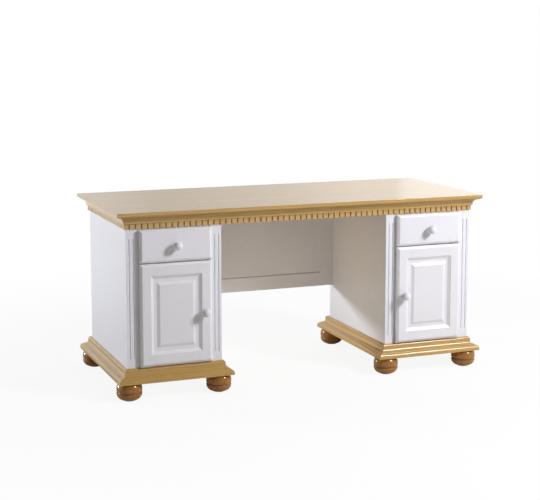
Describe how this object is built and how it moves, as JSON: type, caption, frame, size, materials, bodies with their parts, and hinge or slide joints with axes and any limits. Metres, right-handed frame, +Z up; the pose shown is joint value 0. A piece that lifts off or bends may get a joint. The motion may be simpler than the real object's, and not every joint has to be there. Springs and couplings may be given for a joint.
{
  "type": "computer desk",
  "caption": "Pedestal computer desk in white-painted and honey pine, with drawers, panelled doors, fluted stiles, dentil moulding and bun feet.",
  "frame": {"origin": "middle of the bounding box at floor level, under the desk", "axes": "+X to the right seen from the front, +Y from the front to the back, +Z up"},
  "size_m": [1.6, 0.6914, 0.75],
  "materials": {
    "honey_pine": "clear satin lacquer over knot-free pine",
    "turned_pine": "glossy orange-brown lacquer over turned pine",
    "white_paint": "satin white paint with a trace of grain",
    "raw_pine": "bare sanded pine",
    "fitting_steel": "zinc plated, dull",
    "catch_plastic": "matte cream",
    "glide_plastic": "matte black"
  },
  "bodies": {
    "carcase": {"desk_top": "honey_pine", "cornice_front": "honey_pine", "cornice_back": "honey_pine", "cornice_sides": "honey_pine", "dentil_front": "honey_pine", "dentil_back": "honey_pine", "dentil_sides": "honey_pine", "left_plinth_front": "honey_pine", "left_plinth_back": "honey_pine", "left_plinth_sides": "honey_pine", "right_plinth_front": "honey_pine", "right_plinth_back": "honey_pine", "right_plinth_sides": "honey_pine", "bun_feet": "turned_pine", "modesty_stiles": "white_paint", "modesty_rails": "white_paint", "modesty_panel": "white_paint", "left_outer_side": "white_paint", "left_inner_side": "white_paint", "left_back_panel": "white_paint", "left_top_board": "white_paint", "left_floor_board": "white_paint", "left_shelf": "white_paint", "left_front_stiles": "white_paint", "left_front_rails": "white_paint", "right_outer_side": "white_paint", "right_inner_side": "white_paint", "right_back_panel": "white_paint", "right_top_board": "white_paint", "right_floor_board": "white_paint", "right_shelf": "white_paint", "right_front_stiles": "white_paint", "right_front_rails": "white_paint", "frame_long_rails": "raw_pine", "frame_side_rails": "raw_pine", "drawer_runners": "raw_pine", "left_base_board": "raw_pine", "right_base_board": "raw_pine", "pivot_hinges": "fitting_steel", "shelf_pins": "fitting_steel", "door_catches": "catch_plastic", "foot_glides": "glide_plastic"},
    "left_drawer": {"left_drawer_front": "white_paint", "left_drawer_knob": "white_paint", "left_drawer_sides": "raw_pine", "left_drawer_back": "raw_pine", "left_drawer_bottom": "raw_pine"},
    "left_door": {"left_door_stiles": "white_paint", "left_door_rails": "white_paint", "left_door_panel": "white_paint", "left_door_knob": "white_paint"},
    "right_drawer": {"right_drawer_front": "white_paint", "right_drawer_knob": "white_paint", "right_drawer_sides": "raw_pine", "right_drawer_back": "raw_pine", "right_drawer_bottom": "raw_pine"},
    "right_door": {"right_door_stiles": "white_paint", "right_door_rails": "white_paint", "right_door_panel": "white_paint", "right_door_knob": "white_paint"}
  },
  "joints": [
    {"name": "left_drawer_slide", "type": "slide", "parent": "carcase", "child": "left_drawer", "axis": [0, -1, 0], "range_m": [0, 0.32]},
    {"name": "left_door_hinge", "type": "hinge", "parent": "carcase", "child": "left_door", "pos_m": [-0.7015, -0.2937, 0.3369], "axis": [0, 0, -1], "range_deg": [0, 110]},
    {"name": "right_drawer_slide", "type": "slide", "parent": "carcase", "child": "right_drawer", "axis": [0, -1, 0], "range_m": [0, 0.32]},
    {"name": "right_door_hinge", "type": "hinge", "parent": "carcase", "child": "right_door", "pos_m": [0.7015, -0.2937, 0.3369], "axis": [0, 0, 1], "range_deg": [0, 110]}
  ]
}
